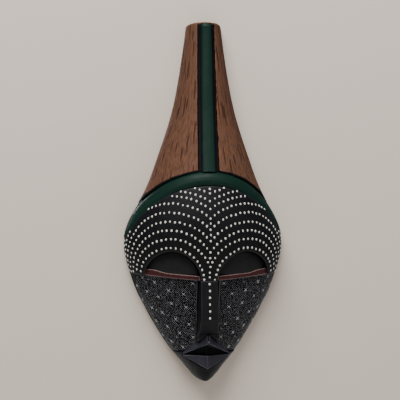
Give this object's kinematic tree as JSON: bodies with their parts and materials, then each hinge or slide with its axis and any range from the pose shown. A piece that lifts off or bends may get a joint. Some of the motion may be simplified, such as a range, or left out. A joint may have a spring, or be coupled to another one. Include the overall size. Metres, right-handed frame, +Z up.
{
  "type": "carved wooden wall mask",
  "caption": "Carved wooden wall mask: a tapering black face with dotted brow, metal-clad cheeks and a tall flared crest, hung by a ring at its back.",
  "frame": {"origin": "the wall nail's bearing point in the hanging ring, on the plane of the mask's flat back", "axes": "+Z up the mask, +Y into the wall, -Y towards the viewer, +X to the viewer's right"},
  "size_m": [0.159, 0.06, 0.3515],
  "materials": {
    "stained_wood": "oil-stained, gouged, satin",
    "black_painted_wood": "black paint, waxed, low sheen",
    "green_enamel_on_wood": "dark green enamel, semi-gloss",
    "red_painted_wood": "dark red paint, satin",
    "bare_wood": "sawn and unfinished",
    "blackened_aluminium": "embossed thin sheet, blackened and rubbed back",
    "steel_pins": "dull bright steel",
    "zinc_plated_steel": "zinc plated"
  },
  "bodies": {
    "mask": {"face_block": "black_painted_wood", "crest_block": "stained_wood", "crest_dowels": "bare_wood", "crest_ridge": "green_enamel_on_wood", "brow_band": "green_enamel_on_wood", "eyelid_left": "black_painted_wood", "eyelid_right": "black_painted_wood", "eye_bar_left": "red_painted_wood", "eye_bar_right": "red_painted_wood", "nose": "black_painted_wood", "upper_lip": "black_painted_wood", "lower_lip": "black_painted_wood", "cheek_plate_left": "blackened_aluminium", "cheek_plate_right": "blackened_aluminium", "cheek_pins": "steel_pins", "hanger_strap": "zinc_plated_steel", "hanger_screws": "zinc_plated_steel"},
    "ring": {"hanger_ring": "zinc_plated_steel"}
  },
  "joints": [
    {"name": "ring_hinge", "type": "hinge", "parent": "mask", "child": "ring", "pos_m": [0, -0.00692, -0.0125], "axis": [-1, 0, 0], "range_deg": [-3, 177]}
  ]
}
